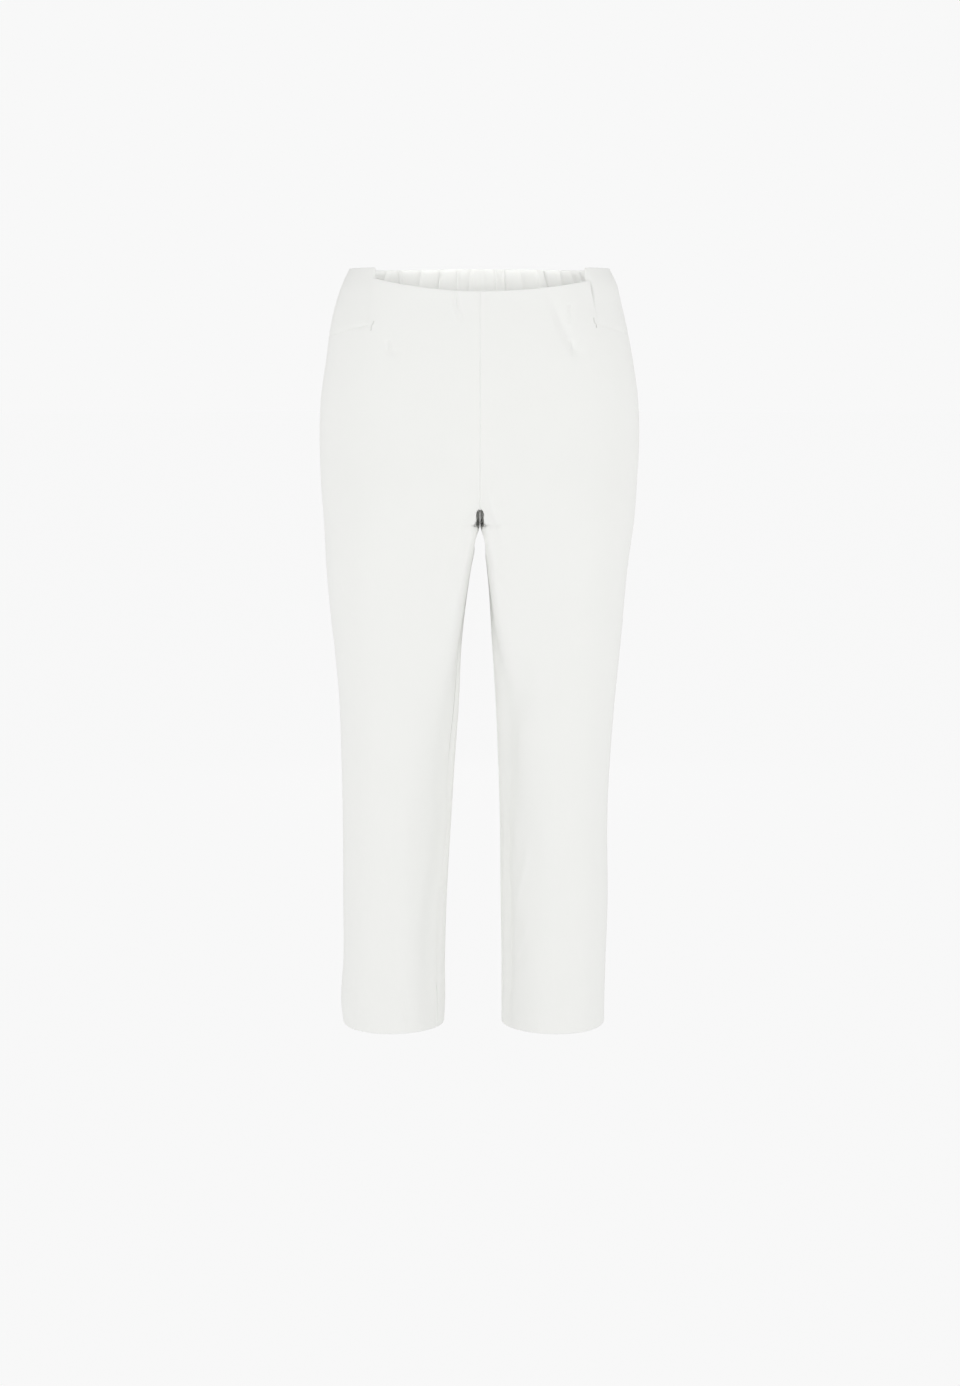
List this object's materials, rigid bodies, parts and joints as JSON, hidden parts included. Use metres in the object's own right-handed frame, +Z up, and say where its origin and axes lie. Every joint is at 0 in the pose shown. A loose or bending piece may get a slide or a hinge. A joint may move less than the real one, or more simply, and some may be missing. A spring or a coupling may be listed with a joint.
{
  "type": "capri pants",
  "caption": "Slim straight capri pants in plain off-white cloth, worn shape and empty, with an elastic gathered back waist and scooped front pockets.",
  "frame": {"origin": "centre of the waist opening, at the middle of the elastic", "axes": "+Z up, -Y to the front, +X to the wearer's left"},
  "size_m": [0.3469, 0.2364, 0.8312],
  "materials": {
    "cloth": "matte off-white fine twill with a little stretch",
    "cloth_inside": "matte, the wrong side of the same cloth",
    "thread": "matte sewing thread in the cloth's colour"
  },
  "bodies": {
    "root": {"front_right": "cloth", "front_left": "cloth", "back_right": "cloth", "back_left": "cloth", "pocket_facing_right": "cloth", "pocket_facing_left": "cloth", "waist_casing": "cloth_inside"}
  },
  "joints": []
}
